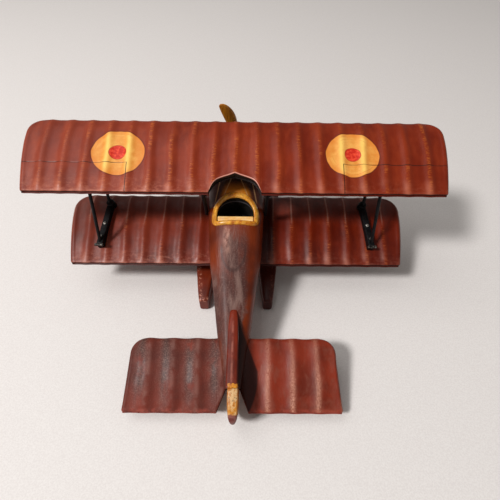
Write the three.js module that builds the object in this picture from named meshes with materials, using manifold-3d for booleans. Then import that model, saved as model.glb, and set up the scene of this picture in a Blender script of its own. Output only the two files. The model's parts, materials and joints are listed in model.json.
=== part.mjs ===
// Wooden display model of a biplane on twin floats.
// Millimetres, +Z up, nose towards +Y, wings along X.
// The airframe is drawn level in its own frame and then pitched nose-up as one group:
// its origin is the middle of the upper wing's trailing edge. The floats stand level.
import * as THREE from "three";
import { mergeVertices } from "three/addons/utils/BufferGeometryUtils.js";
import Module from "manifold-3d";

const wasm = await Module();
wasm.setup();

// ---- Driving dimensions ----
const GAP = 0.3; // clearance between touching pieces
const PITCH_DEG = 20; // airframe nose-up angle above the floats
const DATUM_HEIGHT = 201; // upper wing's trailing edge above the table

// Half spans are taken at the trailing edge. Bulge is how far the tip bows out beyond it.
const UPPER = { halfSpan: 304, chord: 122.6, ribPitch: 31, tailY: 1.4, baseZ: -2.5, bulge: 8, corner: 27 };
const LOWER = { halfSpan: 269.5, chord: 124, ribPitch: 30.6, tailY: -66, baseZ: -117.5, bulge: 8, corner: 30 };
const RIB_RISE = 1.3; // crest of a rib above the mean surface
const RIB_DIP = 1.4; // hollow between two ribs below the mean surface

const TAIL = { halfSpan: 151, chord: 98, ribPitch: 34.5, tailY: -288, baseZ: -87.5, bulge: -5, corner: 22 };
const TAIL_NOTCH = { front: -258.5, halfFront: 9.6, halfBack: 22 };
const CUTOUT = { halfWidth: 37.5, depth: 28.1 }; // arch over the cockpit

const NOSE = { y: 95, radius: 45, z: -80, length: 51, faceRadius: 26 };
const COCKPIT = { back: -20, front: 18.5, halfWidth: 28.5, floor: -100, rim: 8, rimRise: 4.5 };
const SEAT = { depth: 10, top: -50 };

const FIN = { front: -151, back: -258.2, topFront: -61, topBack: -36, thickness: 15.8 };
const RUDDER = { x: 1.6, front: -258.9, back: -302, top: -35, bottom: -95, thickness: 14.6 };

const PROP = { radius: 88, hubRadius: 9.5, hubLength: 12, tiltDeg: 14, boreRadius: 2.85 };
const SHAFT = { radius: 2.5, headRadius: 5.5, headHeight: 4, depth: 24 };
const WASHER = { radius: 8, thickness: 2 };

const FOOT = { back: -42, front: 33.5, xBack: 220.3, xFront: 211.5, width: 10, top: -94.5 };
const KNUCKLE = { radius: 6.6, top: -91.5 };
const HEAD = { back: 9, front: 97, x: 214.5, width: 10, height: 7 };
const ROD_RADIUS = 2.5;
const RODS = {
  rear: { bottom: [219.6, -36, -98], top: [214.5, 20, -4] },
  front: { bottom: [212.2, 30.5, -98], top: [215, 86.5, -4] },
};
const FOOT_SCREW_Y = { rear: -27, front: -4 };
const SCREW = { headRadius: 2.7, headHeight: 1.7, shankRadius: 1.2, shankLength: 6 };

const CABANES = { rear: { y: 4, x: 47.2 }, front: { y: 74, x: 49 } };
const CABANE = { thickness: 5, width: 8, bottom: -80 };

const FLOAT = { sternX: 53, spread: 0.022, sternY: -66 };
const FLOAT_STRUTS = { rear: { y: 18, x: 54.6 }, front: { y: 92, x: 56.4 } };
const FLOAT_STRUT = { thickness: 6, width: 15 };

// ---- Materials ----
const paint = (color, roughness, metalness = 0) =>
  new THREE.MeshStandardMaterial({ color, roughness, metalness });
const redBrown = paint(0x8c3c28, 0.4);
const redOrange = paint(0x82300f, 0.4);
const purpleBrown = paint(0x73504b, 0.45);
const ochre = paint(0xa36c17, 0.45);
const amber = paint(0xd28c2a, 0.4);
const cream = paint(0xdcb46e, 0.5);
const black = paint(0x1a1818, 0.45);
const steel = paint(0x8a8782, 0.35, 0.9);

// ---- Solid helpers ----

// Gives a loose mesh closed, merged vertices with its faces pointing outwards.
function closeMesh(geometry) {
  const bare = geometry.clone();
  bare.deleteAttribute("normal");
  bare.deleteAttribute("uv");
  const merged = mergeVertices(bare, 1e-4);
  const p = merged.attributes.position;
  const index = merged.index.array;
  const a = new THREE.Vector3();
  const b = new THREE.Vector3();
  const c = new THREE.Vector3();
  const kept = [];
  let volume = 0;
  for (let i = 0; i < index.length; i += 3) {
    const [u, v, w] = [index[i], index[i + 1], index[i + 2]];
    if (u === v || v === w || w === u) continue;
    a.fromBufferAttribute(p, u);
    b.fromBufferAttribute(p, v);
    c.fromBufferAttribute(p, w);
    volume += a.dot(b.cross(c));
    kept.push(u, v, w);
  }
  if (volume < 0) {
    for (let i = 0; i < kept.length; i += 3) {
      [kept[i + 1], kept[i + 2]] = [kept[i + 2], kept[i + 1]];
    }
  }
  merged.setIndex(kept);
  return merged;
}

function toManifold(geometry) {
  const closed = closeMesh(geometry);
  return new wasm.Manifold(new wasm.Mesh({
    numProp: 3,
    vertProperties: new Float32Array(closed.attributes.position.array),
    triVerts: new Uint32Array(closed.index.array),
  }));
}

function toGeometry(manifold) {
  const mesh = manifold.getMesh();
  const geometry = new THREE.BufferGeometry();
  geometry.setAttribute("position", new THREE.BufferAttribute(mesh.vertProperties, 3));
  geometry.setIndex(new THREE.BufferAttribute(mesh.triVerts, 1));
  return geometry;
}

const moved = (geometry, x, y, z) => geometry.clone().translate(x, y, z);
const minus = (geometry, ...cutters) =>
  toGeometry(cutters.reduce((solid, cutter) => solid.subtract(toManifold(cutter)), toManifold(geometry)));
const plus = (geometry, ...others) =>
  toGeometry(others.reduce((solid, other) => solid.add(toManifold(other)), toManifold(geometry)));
const common = (geometry, other) =>
  toGeometry(toManifold(geometry).intersect(toManifold(other)));

// Skins equal-length loops of points one after another and closes both ends.
function loft(loops) {
  const count = loops[0].length;
  const points = loops.flat();
  const index = [];
  for (let s = 0; s + 1 < loops.length; s += 1) {
    for (let i = 0; i < count; i += 1) {
      const j = (i + 1) % count;
      const a = s * count + i;
      const b = s * count + j;
      index.push(a, b, a + count, b, b + count, a + count);
    }
  }
  const last = (loops.length - 1) * count;
  for (const [first, flip] of [[0, true], [last, false]]) {
    const middle = new THREE.Vector3();
    for (let i = 0; i < count; i += 1) middle.add(points[first + i]);
    points.push(middle.divideScalar(count));
    const hub = points.length - 1;
    for (let i = 0; i < count; i += 1) {
      const j = (i + 1) % count;
      if (flip) index.push(first + j, first + i, hub);
      else index.push(first + i, first + j, hub);
    }
  }
  const geometry = new THREE.BufferGeometry().setFromPoints(points);
  geometry.setIndex(index);
  return closeMesh(geometry);
}

// Extrudes an outline of [x, y] points upwards from z.
function slab(outline, z, height) {
  const shape = new THREE.Shape(outline.map(([x, y]) => new THREE.Vector2(x, y)));
  return new THREE.ExtrudeGeometry(shape, { depth: height, bevelEnabled: false }).translate(0, 0, z);
}

// Extrudes a side outline of [y, z] points across X, centred on x.
function sidePlate(outline, x, width) {
  const shape = new THREE.Shape(outline.map(([y, z]) => new THREE.Vector2(y, z)));
  const plate = new THREE.ExtrudeGeometry(shape, { depth: width, bevelEnabled: false });
  const basis = new THREE.Matrix4().makeBasis(
    new THREE.Vector3(0, 1, 0),
    new THREE.Vector3(0, 0, 1),
    new THREE.Vector3(1, 0, 0),
  );
  return plate.applyMatrix4(basis).translate(x - width / 2, 0, 0);
}

function box(x0, x1, y0, y1, z0, z1) {
  const geometry = new THREE.BoxGeometry(x1 - x0, y1 - y0, z1 - z0);
  return geometry.translate((x0 + x1) / 2, (y0 + y1) / 2, (z0 + z1) / 2);
}

// Round bar between two points.
function rod(from, to, radius, sides = 12) {
  const start = new THREE.Vector3(...from);
  const axis = new THREE.Vector3(...to).sub(start);
  const geometry = new THREE.CylinderGeometry(radius, radius, axis.length(), sides);
  const turn = new THREE.Quaternion().setFromUnitVectors(
    new THREE.Vector3(0, 1, 0),
    axis.clone().normalize(),
  );
  return geometry.applyQuaternion(turn).translate(
    start.x + axis.x / 2,
    start.y + axis.y / 2,
    start.z + axis.z / 2,
  );
}

const ease = (t) => t * t * (3 - 2 * t);

// Piecewise smooth interpolation through [position, value] pairs.
function along(table, at) {
  if (at <= table[0][0]) return table[0][1];
  for (let i = 1; i < table.length; i += 1) {
    const [p1, v1] = table[i];
    const [p0, v0] = table[i - 1];
    if (at <= p1) return v0 + (v1 - v0) * ((at - p0) / (p1 - p0));
  }
  return table[table.length - 1][1];
}

// ---- Wings and tailplane ----

// Section of a carved board: [fraction of chord from the trailing edge, height], bottom flat.
const BOARD_TOP = [[0, 4.6], [0.1, 6.6], [0.28, 9.6], [0.48, 12.2], [0.68, 13.4], [0.84, 12.2], [0.94, 9.2]];
const BOARD_NOSE = [[0.985, 6.2], [1, 3.4], [0.985, 1.1]];
const BOARD_BOTTOM = [[0.94, 0], [0.5, 0], [0, 0]];

// A carved board with ribs along the chord. Its stations lie on each rib crest and each hollow.
function carvedBoard(spec, ribScale, thicknessScale, crestInMiddle) {
  const { halfSpan: half, bulge, corner } = spec;
  const widest = half + bulge;
  const stations = [];
  for (let n = 0; (n * spec.ribPitch) / 2 < half - 6; n += 1) {
    const rise = (n % 2 === 0) === crestInMiddle ? RIB_RISE : -RIB_DIP;
    stations.push({ x: (n * spec.ribPitch) / 2, rise: rise * ribScale });
  }
  const insets = [1, 0.7, 0.42, 0.2, 0.06, 0].map((share) => corner * share);
  const inner = stations.filter((s) => s.x < widest - corner - 3);
  stations.length = 0;
  stations.push(...inner, ...insets.map((inset) => ({ x: widest - inset, rise: 0 })));
  const loops = [];
  const mirrored = stations.filter((s) => s.x > 0).map((s) => ({ ...s, side: -1 })).reverse();
  for (const { x, rise, side = 1 } of [...mirrored, ...stations]) {
    const inside = Math.min(1, Math.max(0, x - (widest - corner)) / corner);
    const cut = corner * (1 - Math.sqrt(1 - inside ** 2));
    const chord = spec.chord - cut + (rise > 0 ? 0.6 : -0.3) * ribScale;
    const loop = [];
    const put = (t, z) => {
      const bow = -bulge * inside * (1 - Math.min(1, t * 1.5)) ** 1.6;
      loop.push(new THREE.Vector3(side * (x + bow), spec.tailY + t * chord, spec.baseZ + z * thicknessScale));
    };
    const thin = 1 - 0.35 * inside;
    for (const [t, z] of BOARD_TOP) put(t, z * thin + rise * (t === 0 ? 0.35 : 1));
    for (const [t, z] of BOARD_NOSE) put(t, z * thin);
    for (const [t, z] of BOARD_BOTTOM) put(t, z);
    loops.push(loop);
  }
  return loft(loops);
}

const upperBoard = carvedBoard(UPPER, 1, 1, true);
const lowerWing = carvedBoard(LOWER, 1, 1, true);
const tailBoard = carvedBoard(TAIL, 0.6, 0.68, false);

const archPoints = [];
for (let i = 0; i <= 12; i += 1) {
  const u = -1 + i / 6;
  const rise = 1 - 0.4 * Math.abs(u) - 0.6 * Math.abs(u) ** 6;
  archPoints.push([u * CUTOUT.halfWidth, UPPER.tailY + CUTOUT.depth * rise]);
}
const archCutter = slab([...archPoints, [CUTOUT.halfWidth, -10], [-CUTOUT.halfWidth, -10]], -10, 40);
const upperWing = minus(upperBoard, archCutter);

const notchOutline = [
  [-TAIL_NOTCH.halfFront, TAIL_NOTCH.front],
  [TAIL_NOTCH.halfFront, TAIL_NOTCH.front],
  [TAIL_NOTCH.halfBack + 1, TAIL.tailY - 2],
  [-TAIL_NOTCH.halfBack - 1, TAIL.tailY - 2],
];
const tailplane = minus(tailBoard, slab(notchOutline, TAIL.baseZ - 10, 40));

// ---- Fuselage ----

// Stations from tail to nose: [y, half width, top, bottom, roundness of the section].
const FUSELAGE = [
  [-258.5, 12.3, -71, -96, 2.3],
  [-225, 18, -69.5, -99, 2.3],
  [-190, 23.2, -67, -102, 2.4],
  [-151, 28.5, -62.5, -106, 2.5],
  [-104, 34.7, -56, -112, 2.6],
  [-78, 38.9, -52, -116, 2.6],
  [-40, 42, -47.5, -119, 2.7],
  [0, 43.8, -45.5, -120, 2.7],
  [40, 44.6, -42.5, -121, 2.6],
  [70, 45, -38.5, -123, 2.3],
  [NOSE.y, NOSE.radius, NOSE.z + NOSE.radius, NOSE.z - NOSE.radius, 2],
];
const RING = 28;

function fuselageSolid() {
  return loft(FUSELAGE.map(([y, half, top, bottom, power]) => {
    const loop = [];
    for (let i = 0; i < RING; i += 1) {
      const angle = (2 * Math.PI * (i + 0.5)) / RING;
      const c = Math.cos(angle);
      const s = Math.sin(angle);
      const x = half * Math.sign(c) * Math.abs(c) ** (2 / power);
      const z = (top + bottom) / 2 + ((top - bottom) / 2) * Math.sign(s) * Math.abs(s) ** (2 / power);
      loop.push(new THREE.Vector3(x, y, z));
    }
    return loop;
  }));
}

// D-shaped outline, flat behind and round in front, grown by an offset.
function cockpitOutline(grow) {
  const half = COCKPIT.halfWidth + grow;
  const back = COCKPIT.back - grow * 0.75;
  const front = COCKPIT.front + grow;
  const shoulder = back + 11;
  const outline = [];
  const steps = 16;
  for (let i = 0; i <= steps; i += 1) {
    const angle = (Math.PI * i) / steps;
    outline.push([half * Math.cos(angle), shoulder + (front - shoulder) * Math.sin(angle) ** 0.85]);
  }
  outline.push([-half * 0.97, back + 4], [-half * 0.87, back], [half * 0.87, back], [half * 0.97, back + 4]);
  return outline;
}

const body = fuselageSolid();
const wingSlot = [
  moved(lowerWing, 0, 0, GAP),
  moved(lowerWing, 0, GAP, 0),
  moved(lowerWing, 0, -GAP, 0),
  box(-60, 60, LOWER.tailY - GAP, LOWER.tailY + LOWER.chord - 6, -135, LOWER.baseZ + 0.2),
];
const tailSlot = [
  moved(tailBoard, 0, GAP, GAP),
  moved(tailBoard, 0, GAP, -GAP),
];
const cockpitHollow = slab(cockpitOutline(0), COCKPIT.floor, 90);
const fuselage = minus(body, cockpitHollow, ...wingSlot, ...tailSlot);

const rimRing = minus(
  slab(cockpitOutline(COCKPIT.rim), -80, 60),
  slab(cockpitOutline(0), -90, 80),
);
const cockpitRim = minus(common(rimRing, moved(body, 0, 0, COCKPIT.rimRise)), moved(body, 0, 0, GAP));

const seatBlock = slab(cockpitOutline(-GAP), COCKPIT.floor + GAP, SEAT.top - COCKPIT.floor - GAP);
const cockpitSeat = common(seatBlock, box(-60, 60, -60, COCKPIT.back + SEAT.depth, -120, 0));

// Turned nose piece, on the propeller's axis.
const noseProfile = [
  [0, 0],
  [NOSE.radius + 0.8, 0],
  [NOSE.radius + 1.6, 8],
  [NOSE.radius + 1.2, 22],
  [NOSE.radius - 2, 36],
  [NOSE.radius - 8, 45],
  [NOSE.faceRadius, NOSE.length],
  [0, NOSE.length],
].map(([r, y]) => new THREE.Vector2(r, y));
const noseBlank = new THREE.LatheGeometry(noseProfile, 32).translate(0, NOSE.y + GAP, NOSE.z);
const noseFace = NOSE.y + GAP + NOSE.length;
const shaftHole = rod([0, noseFace - SHAFT.depth - GAP, NOSE.z], [0, noseFace + 5, NOSE.z], SHAFT.radius + GAP, 16);
const noseCowl = minus(noseBlank, shaftHole);

// ---- Fin and rudder ----

// Plan outline of the fin: it comes to a blunt point in front.
const finPlan = [
  [FIN.thickness * 0.2, FIN.front],
  [FIN.thickness * 0.34, FIN.front - 6],
  [FIN.thickness * 0.45, FIN.front - 20],
  [FIN.thickness * 0.49, FIN.front - 40],
  [FIN.thickness / 2, FIN.back],
];
const finBlank = slab([...finPlan, ...finPlan.map(([x, y]) => [-x, y]).reverse()], -90, 90);
const finSide = sidePlate([
  [FIN.front + 2, FIN.topFront - 1.5],
  [FIN.front - 50, -47.5],
  [FIN.back - 1, FIN.topBack],
  [FIN.back - 1, -75],
  [FIN.front + 2, -75],
], 0, 40);
const fin = minus(common(finBlank, finSide), moved(body, 0, 0, GAP));

const rudderPlan = [
  [RUDDER.thickness / 2, RUDDER.front],
  [RUDDER.thickness * 0.47, RUDDER.front - 22],
  [RUDDER.thickness * 0.36, RUDDER.back + 12],
  [RUDDER.thickness * 0.22, RUDDER.back + 2.5],
  [RUDDER.thickness * 0.08, RUDDER.back],
];
const rudderBlank = slab([...rudderPlan, ...rudderPlan.map(([x, y]) => [-x, y]).reverse()], -120, 120);
const rudderSide = sidePlate([
  [RUDDER.front + 1, RUDDER.top],
  [RUDDER.front - 24, RUDDER.top - 1.5],
  [RUDDER.back + 9, RUDDER.top - 7],
  [RUDDER.back + 1, RUDDER.top - 18],
  [RUDDER.back - 1, RUDDER.bottom + 22],
  [RUDDER.back + 8, RUDDER.bottom + 6],
  [RUDDER.back + 20, RUDDER.bottom],
  [RUDDER.front + 1, RUDDER.bottom],
], 0, 40);
const rudder = moved(common(rudderBlank, rudderSide), RUDDER.x, 0, 0);

// ---- Propeller ----

const propBase = noseFace + GAP + WASHER.thickness + GAP;
const propMid = propBase + PROP.hubLength / 2;

// Scimitar blade: [radius, chord, sideways sweep, twist in degrees, thickness].
const BLADE = [
  [4, 11, 0, 60, 9],
  [16, 12, 0, 48, 8],
  [32, 16, 1.6, 36, 6],
  [50, 18.5, 2.4, 28, 5],
  [66, 18, 1.6, 22, 4.2],
  [78, 14.5, -0.4, 18, 3.4],
  [85, 9.5, -2.6, 16, 2.6],
  [PROP.radius, 4, -4.2, 15, 1.6],
];
const BLADE_SECTION = [[-0.5, 0], [-0.3, 0.42], [0, 0.5], [0.3, 0.42], [0.5, 0], [0.3, -0.42], [0, -0.5], [-0.3, -0.42]];

function blade(turn) {
  const loops = BLADE.map(([radius, chord, sweep, twistDeg, thickness]) => {
    const twist = THREE.MathUtils.degToRad(twistDeg);
    return BLADE_SECTION.map(([u, v]) => {
      const across = u * chord * Math.cos(twist) - v * thickness * Math.sin(twist) + sweep;
      const fore = u * chord * Math.sin(twist) + v * thickness * Math.cos(twist);
      return new THREE.Vector3(across, fore, radius);
    });
  });
  return loft(loops).rotateY(turn);
}

const tilt = -THREE.MathUtils.degToRad(PROP.tiltDeg);
const hub = rod([0, -PROP.hubLength / 2, 0], [0, PROP.hubLength / 2, 0], PROP.hubRadius, 24);
const hubBore = rod([0, -20, 0], [0, 20, 0], PROP.boreRadius, 16);
const propeller = minus(plus(hub, blade(tilt), blade(tilt + Math.PI)), hubBore)
  .translate(0, propMid, NOSE.z);

const washer = minus(
  rod([0, 0, 0], [0, WASHER.thickness, 0], WASHER.radius, 24),
  rod([0, -5, 0], [0, 5, 0], SHAFT.radius + GAP, 16),
).translate(0, noseFace + GAP, NOSE.z);

const headStart = propBase + PROP.hubLength + GAP;
const shaftProfile = [
  [0, noseFace - SHAFT.depth],
  [SHAFT.radius, noseFace - SHAFT.depth],
  [SHAFT.radius, headStart],
  [SHAFT.headRadius, headStart],
  [SHAFT.headRadius * 0.92, headStart + SHAFT.headHeight * 0.5],
  [SHAFT.headRadius * 0.5, headStart + SHAFT.headHeight * 0.92],
  [0, headStart + SHAFT.headHeight],
].map(([r, y]) => new THREE.Vector2(r, y));
const propellerShaft = new THREE.LatheGeometry(shaftProfile, 16).translate(0, 0, NOSE.z);

// ---- Struts between the wings ----

// Foot bar on the lower wing: it follows the wing's ribs underneath.
function footBar(side, holes) {
  const halfWidth = FOOT.width / 2;
  const outline = [
    [side * (FOOT.xBack - halfWidth), FOOT.back],
    [side * (FOOT.xBack + halfWidth), FOOT.back],
    [side * (FOOT.xFront + halfWidth), FOOT.front],
    [side * (FOOT.xFront - halfWidth), FOOT.front],
  ];
  const bar = slab(outline, -116, FOOT.top + 116);
  const knuckle = new THREE.CylinderGeometry(KNUCKLE.radius - 1.2, KNUCKLE.radius, KNUCKLE.top + 116, 16)
    .rotateX(Math.PI / 2)
    .translate(side * FOOT.xFront, FOOT.front, (KNUCKLE.top - 116) / 2);
  return minus(plus(bar, knuckle), moved(lowerWing, 0, 0, GAP), ...holes);
}

const headBar = (side) => box(
  side * HEAD.x - HEAD.width / 2,
  side * HEAD.x + HEAD.width / 2,
  HEAD.back,
  HEAD.front,
  UPPER.baseZ - GAP - HEAD.height,
  UPPER.baseZ - GAP,
);

const screwProfile = [
  [0, -SCREW.shankLength],
  [SCREW.shankRadius, -SCREW.shankLength],
  [SCREW.shankRadius, 0],
  [SCREW.headRadius, 0],
  [SCREW.headRadius * 0.8, SCREW.headHeight * 0.7],
  [SCREW.headRadius * 0.4, SCREW.headHeight],
  [0, SCREW.headHeight],
].map(([r, y]) => new THREE.Vector2(r, y));
const screwBlank = new THREE.LatheGeometry(screwProfile, 16).rotateX(Math.PI / 2);
const footX = (y) => FOOT.xBack + ((FOOT.xFront - FOOT.xBack) * (y - FOOT.back)) / (FOOT.front - FOOT.back);
const mirrored = (side, [x, y, z]) => [side * x, y, z];
// The rods end flat on the foot bars and on the head bars.
const belowFeet = box(-250, 250, -70, 130, -130, FOOT.top + GAP);
const aboveHeads = box(-250, 250, -70, 130, UPPER.baseZ - HEAD.height - 2 * GAP, 20);

// ---- Floats and their struts, level on the table ----

// Stations from stern to bow: [y, half width, deck, bottom].
const HULL = [
  [-66, 7.5, 28, 0],
  [-40, 11, 33, 0],
  [0, 15, 38.5, 0],
  [60, 20, 43.5, 0],
  [120, 23, 46, 0],
  [160, 23, 46.5, 0],
  [190, 21, 46.5, 5],
  [212, 16.5, 45.5, 14],
  [227, 10, 43.5, 24],
  [235, 4.5, 41, 31],
];
// Quarter points of a hull section: [fraction of half width, fraction of height].
const HULL_SECTION = [[0, 0], [0.72, 0], [0.93, 0.07], [1, 0.22], [1, 0.88], [0.9, 1], [0, 1]];

function floatHull(side) {
  const loops = HULL.map(([y, half, deck, bottom]) => {
    const centre = FLOAT.sternX + FLOAT.spread * (y - FLOAT.sternY);
    const right = HULL_SECTION.map(([u, v]) => [u * half, bottom + v * (deck - bottom)]);
    const left = right.slice(1, -1).map(([x, z]) => [-x, z]).reverse();
    return [...right, ...left].map(([x, z]) => new THREE.Vector3(side * (centre + x), y, z));
  });
  return loft(loops);
}

const pitch = THREE.MathUtils.degToRad(PITCH_DEG);
// Height of the lower wing's flat underside above the table at y.
const underside = (y) => DATUM_HEIGHT + LOWER.baseZ / Math.cos(pitch) + y * Math.tan(pitch);

function floatStrut(side, { x, y }, hull) {
  const y0 = y - FLOAT_STRUT.width / 2;
  const y1 = y + FLOAT_STRUT.width / 2;
  const outline = [
    [y0, 25],
    [y1, 25],
    [y1, underside(y1) - GAP * 1.2],
    [y0, underside(y0) - GAP * 1.2],
  ];
  return minus(sidePlate(outline, side * x, FLOAT_STRUT.thickness), moved(hull, 0, 0, GAP));
}

// ---- Assembly ----

const airframe = new THREE.Group();
airframe.rotation.x = pitch;
airframe.position.z = DATUM_HEIGHT;
const plane = new THREE.Group();
plane.add(airframe);

function place(group, name, geometry, material) {
  const mesh = new THREE.Mesh(geometry, material);
  mesh.name = name;
  group.add(mesh);
}

place(airframe, "fuselage", fuselage, purpleBrown);
place(airframe, "cockpit_rim", cockpitRim, amber);
place(airframe, "cockpit_seat", cockpitSeat, cream);
place(airframe, "nose_cowl", noseCowl, purpleBrown);
place(airframe, "upper_wing", upperWing, redBrown);
place(airframe, "lower_wing", lowerWing, redOrange);
place(airframe, "tailplane", tailplane, redBrown);
place(airframe, "fin", fin, redOrange);
place(airframe, "rudder", rudder, cream);
place(airframe, "propeller", propeller, ochre);
place(airframe, "propeller_washer", washer, steel);
place(airframe, "propeller_shaft", propellerShaft, steel);

for (const [label, side] of [["left", -1], ["right", 1]]) {
  const holes = [];
  for (const [end, y] of Object.entries(FOOT_SCREW_Y)) {
    const x = side * footX(y);
    place(airframe, `foot_screw_${end}_${label}`, moved(screwBlank, x, y, FOOT.top + GAP), steel);
    holes.push(rod([x, y, FOOT.top - 7], [x, y, FOOT.top + 5], SCREW.shankRadius + GAP, 16));
  }
  const foot = footBar(side, holes);
  place(airframe, `strut_foot_${label}`, foot, black);
  place(airframe, `strut_head_${label}`, headBar(side), black);
  for (const [end, { bottom, top }] of Object.entries(RODS)) {
    const full = rod(mirrored(side, bottom), mirrored(side, top), ROD_RADIUS);
    const cut = minus(full, moved(foot, 0, 0, GAP), belowFeet, aboveHeads);
    place(airframe, `strut_${end}_${label}`, cut, black);
  }
  for (const [end, { x, y }] of Object.entries(CABANES)) {
    const x0 = side * x - CABANE.thickness / 2;
    const strip = box(x0, x0 + CABANE.thickness, y, y + CABANE.width, CABANE.bottom, UPPER.baseZ - GAP);
    place(airframe, `cabane_${end}_${label}`, strip, black);
  }
  const hull = floatHull(side);
  place(plane, `float_${label}`, hull, redOrange);
  for (const [end, spot] of Object.entries(FLOAT_STRUTS)) {
    place(plane, `float_strut_${end}_${label}`, floatStrut(side, spot, hull), black);
  }
}

// The origin is the middle of the base of the whole model.
plane.updateMatrixWorld(true);
const bounds = new THREE.Box3().setFromObject(plane, true);
plane.position.set(-(bounds.min.x + bounds.max.x) / 2, -(bounds.min.y + bounds.max.y) / 2, -bounds.min.z);
plane.updateMatrixWorld(true);

export default plane;
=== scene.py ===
"""Looks of the carved wooden biplane on floats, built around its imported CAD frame."""
import json
from math import atan2, cos, exp, pi, radians, sin, tan

import bpy
import bmesh
import numpy as np
from mathutils import Matrix, Vector


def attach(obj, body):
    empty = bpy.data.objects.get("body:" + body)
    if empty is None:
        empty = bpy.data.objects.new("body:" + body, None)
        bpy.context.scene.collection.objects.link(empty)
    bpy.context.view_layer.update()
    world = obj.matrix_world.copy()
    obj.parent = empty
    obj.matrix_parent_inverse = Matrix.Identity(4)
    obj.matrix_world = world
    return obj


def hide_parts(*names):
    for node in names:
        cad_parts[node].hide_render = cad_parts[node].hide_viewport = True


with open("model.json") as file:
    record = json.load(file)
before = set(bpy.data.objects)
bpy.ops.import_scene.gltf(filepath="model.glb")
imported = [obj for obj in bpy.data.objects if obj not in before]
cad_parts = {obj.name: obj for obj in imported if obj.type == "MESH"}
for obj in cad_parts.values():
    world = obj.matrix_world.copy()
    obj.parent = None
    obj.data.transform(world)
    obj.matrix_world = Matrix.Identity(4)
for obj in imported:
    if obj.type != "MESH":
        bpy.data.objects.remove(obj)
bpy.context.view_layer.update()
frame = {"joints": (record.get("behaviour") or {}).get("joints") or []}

MM = 0.001


class Measures:
    """Named lengths in millimetres, and shares of them."""

    def __init__(self, **values):
        self.__dict__.update(values)


# ---- The airframe's own frame: millimetres, level, origin at the upper wing's trailing edge ----
spin = frame["joints"][0]
PITCH = atan2(spin["axis"][2], spin["axis"][1])
HUB_Y = 154.9
HUB_Z = -80.0
tilt_up = Matrix.Rotation(PITCH, 4, "X")
hub_row = Vector(spin["pos_m"])
AIRFRAME = Matrix.Translation(hub_row - tilt_up @ Vector((0, HUB_Y * MM, HUB_Z * MM))) @ tilt_up
FLOAT_SHIFT_Y = AIRFRAME.translation.y / MM

UPPER = Measures(half=304.0, chord=122.6, tail=1.4, base=-2.5, bulge=8, corner=27,
                 pitch=31.0, phase=0, sharp=2.2)
LOWER = Measures(half=269.5, chord=124.0, tail=-66.0, base=-117.5, bulge=8, corner=30,
                 pitch=30.6, phase=0, sharp=2.0)
TAIL = Measures(half=151.0, chord=98.0, tail=-288.0, base=-87.5, bulge=-5, corner=22,
                pitch=34.5, phase=0.5, sharp=1.2)
ARCH = Measures(half=37.5, depth=28.1, linear=0.4, power=6)
NOTCH = Measures(front=-258.5, half_front=9.6, half_back=22.0)
RUDDER_X = 1.6
AILERON = Measures(y=45.2, x=156.0, depth=0.25)
ROUNDEL = Measures(x=170.5, y=61.5, radius=38.5, dot=12.0, squash=1.09)


# ==== mesh helpers ====

def add_object(name, verts, faces, material, matrix=AIRFRAME, merge=0.02):
    """A mesh from points in millimetres, closed up, with its faces pointing outwards."""
    mesh = bpy.data.meshes.new(name)
    mesh.from_pydata([matrix @ Vector((x * MM, y * MM, z * MM)) for x, y, z in verts], [], faces)
    bm = bmesh.new()
    bm.from_mesh(mesh)
    bmesh.ops.remove_doubles(bm, verts=bm.verts, dist=merge * MM)
    bmesh.ops.recalc_face_normals(bm, faces=bm.faces)
    bm.to_mesh(mesh)
    bm.free()
    mesh.polygons.foreach_set("use_smooth", [True] * len(mesh.polygons))
    obj = bpy.data.objects.new(name, mesh)
    bpy.context.scene.collection.objects.link(obj)
    obj.data.materials.append(material)
    return obj


def finish_piece(obj, slot, *nodes, body="airframe"):
    """Rides the piece on its body, in place of its CAD nodes."""
    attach(obj, body)
    if nodes:
        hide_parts(*nodes)


def skin(loops, caps=True, ring=False):
    """Points and faces of equal-length loops skinned one after another, and back to the first for a ring."""
    count, cols = len(loops), len(loops[0])
    verts = [tuple(p) for loop in loops for p in loop]
    faces = []
    for row in range(count if ring else count - 1):
        here, ahead = row * cols, (row + 1) % count * cols
        faces += [(here + c, here + (c + 1) % cols, ahead + (c + 1) % cols, ahead + c) for c in range(cols)]
    if caps and not ring:
        faces.append(tuple(reversed(range(cols))))
        faces.append(tuple(range((count - 1) * cols, count * cols)))
    return verts, faces


def circle(count):
    """(cosine, sine) at even steps round a circle."""
    return [(cos(2 * pi * k / count), sin(2 * pi * k / count)) for k in range(count)]


def turned(rows, centre, segments, upright=False):
    """Circles from rows of (radius, level) about an axis along Y, or along Z when upright."""
    x, y, z = centre
    loops = []
    for r, level in rows:
        r = max(r, 0.001)
        loops.append([(x + r * c, y + r * s, z + level) if upright else (x + r * c, y + level, z + r * s)
                      for c, s in circle(segments)])
    return loops


def signed_power(value, power):
    return np.sign(value) * np.abs(value) ** power


def spline(points, steps, closed=False):
    """Catmull-Rom curve through points of any dimension."""
    p = np.array(points, float)
    count = len(p)
    out = []
    for i in range(count if closed else count - 1):
        if closed:
            a, b, c, d = p[i - 1], p[i], p[(i + 1) % count], p[(i + 2) % count]
        else:
            b, c = p[i], p[i + 1]
            a = p[i - 1] if i else 2 * b - c
            d = p[i + 2] if i + 2 < count else 2 * c - b
        for k in range(steps):
            t = k / steps
            out.append(0.5 * (2 * b + (c - a) * t + (2 * a - 5 * b + 4 * c - d) * t * t
                              + (3 * b - a - 3 * c + d) * t ** 3))
    if not closed:
        out.append(p[-1])
    return np.array(out)


def smooth_steps(value, low, high):
    t = np.clip((value - low) / (high - low), 0, 1)
    return t * t * (3 - 2 * t)


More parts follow.
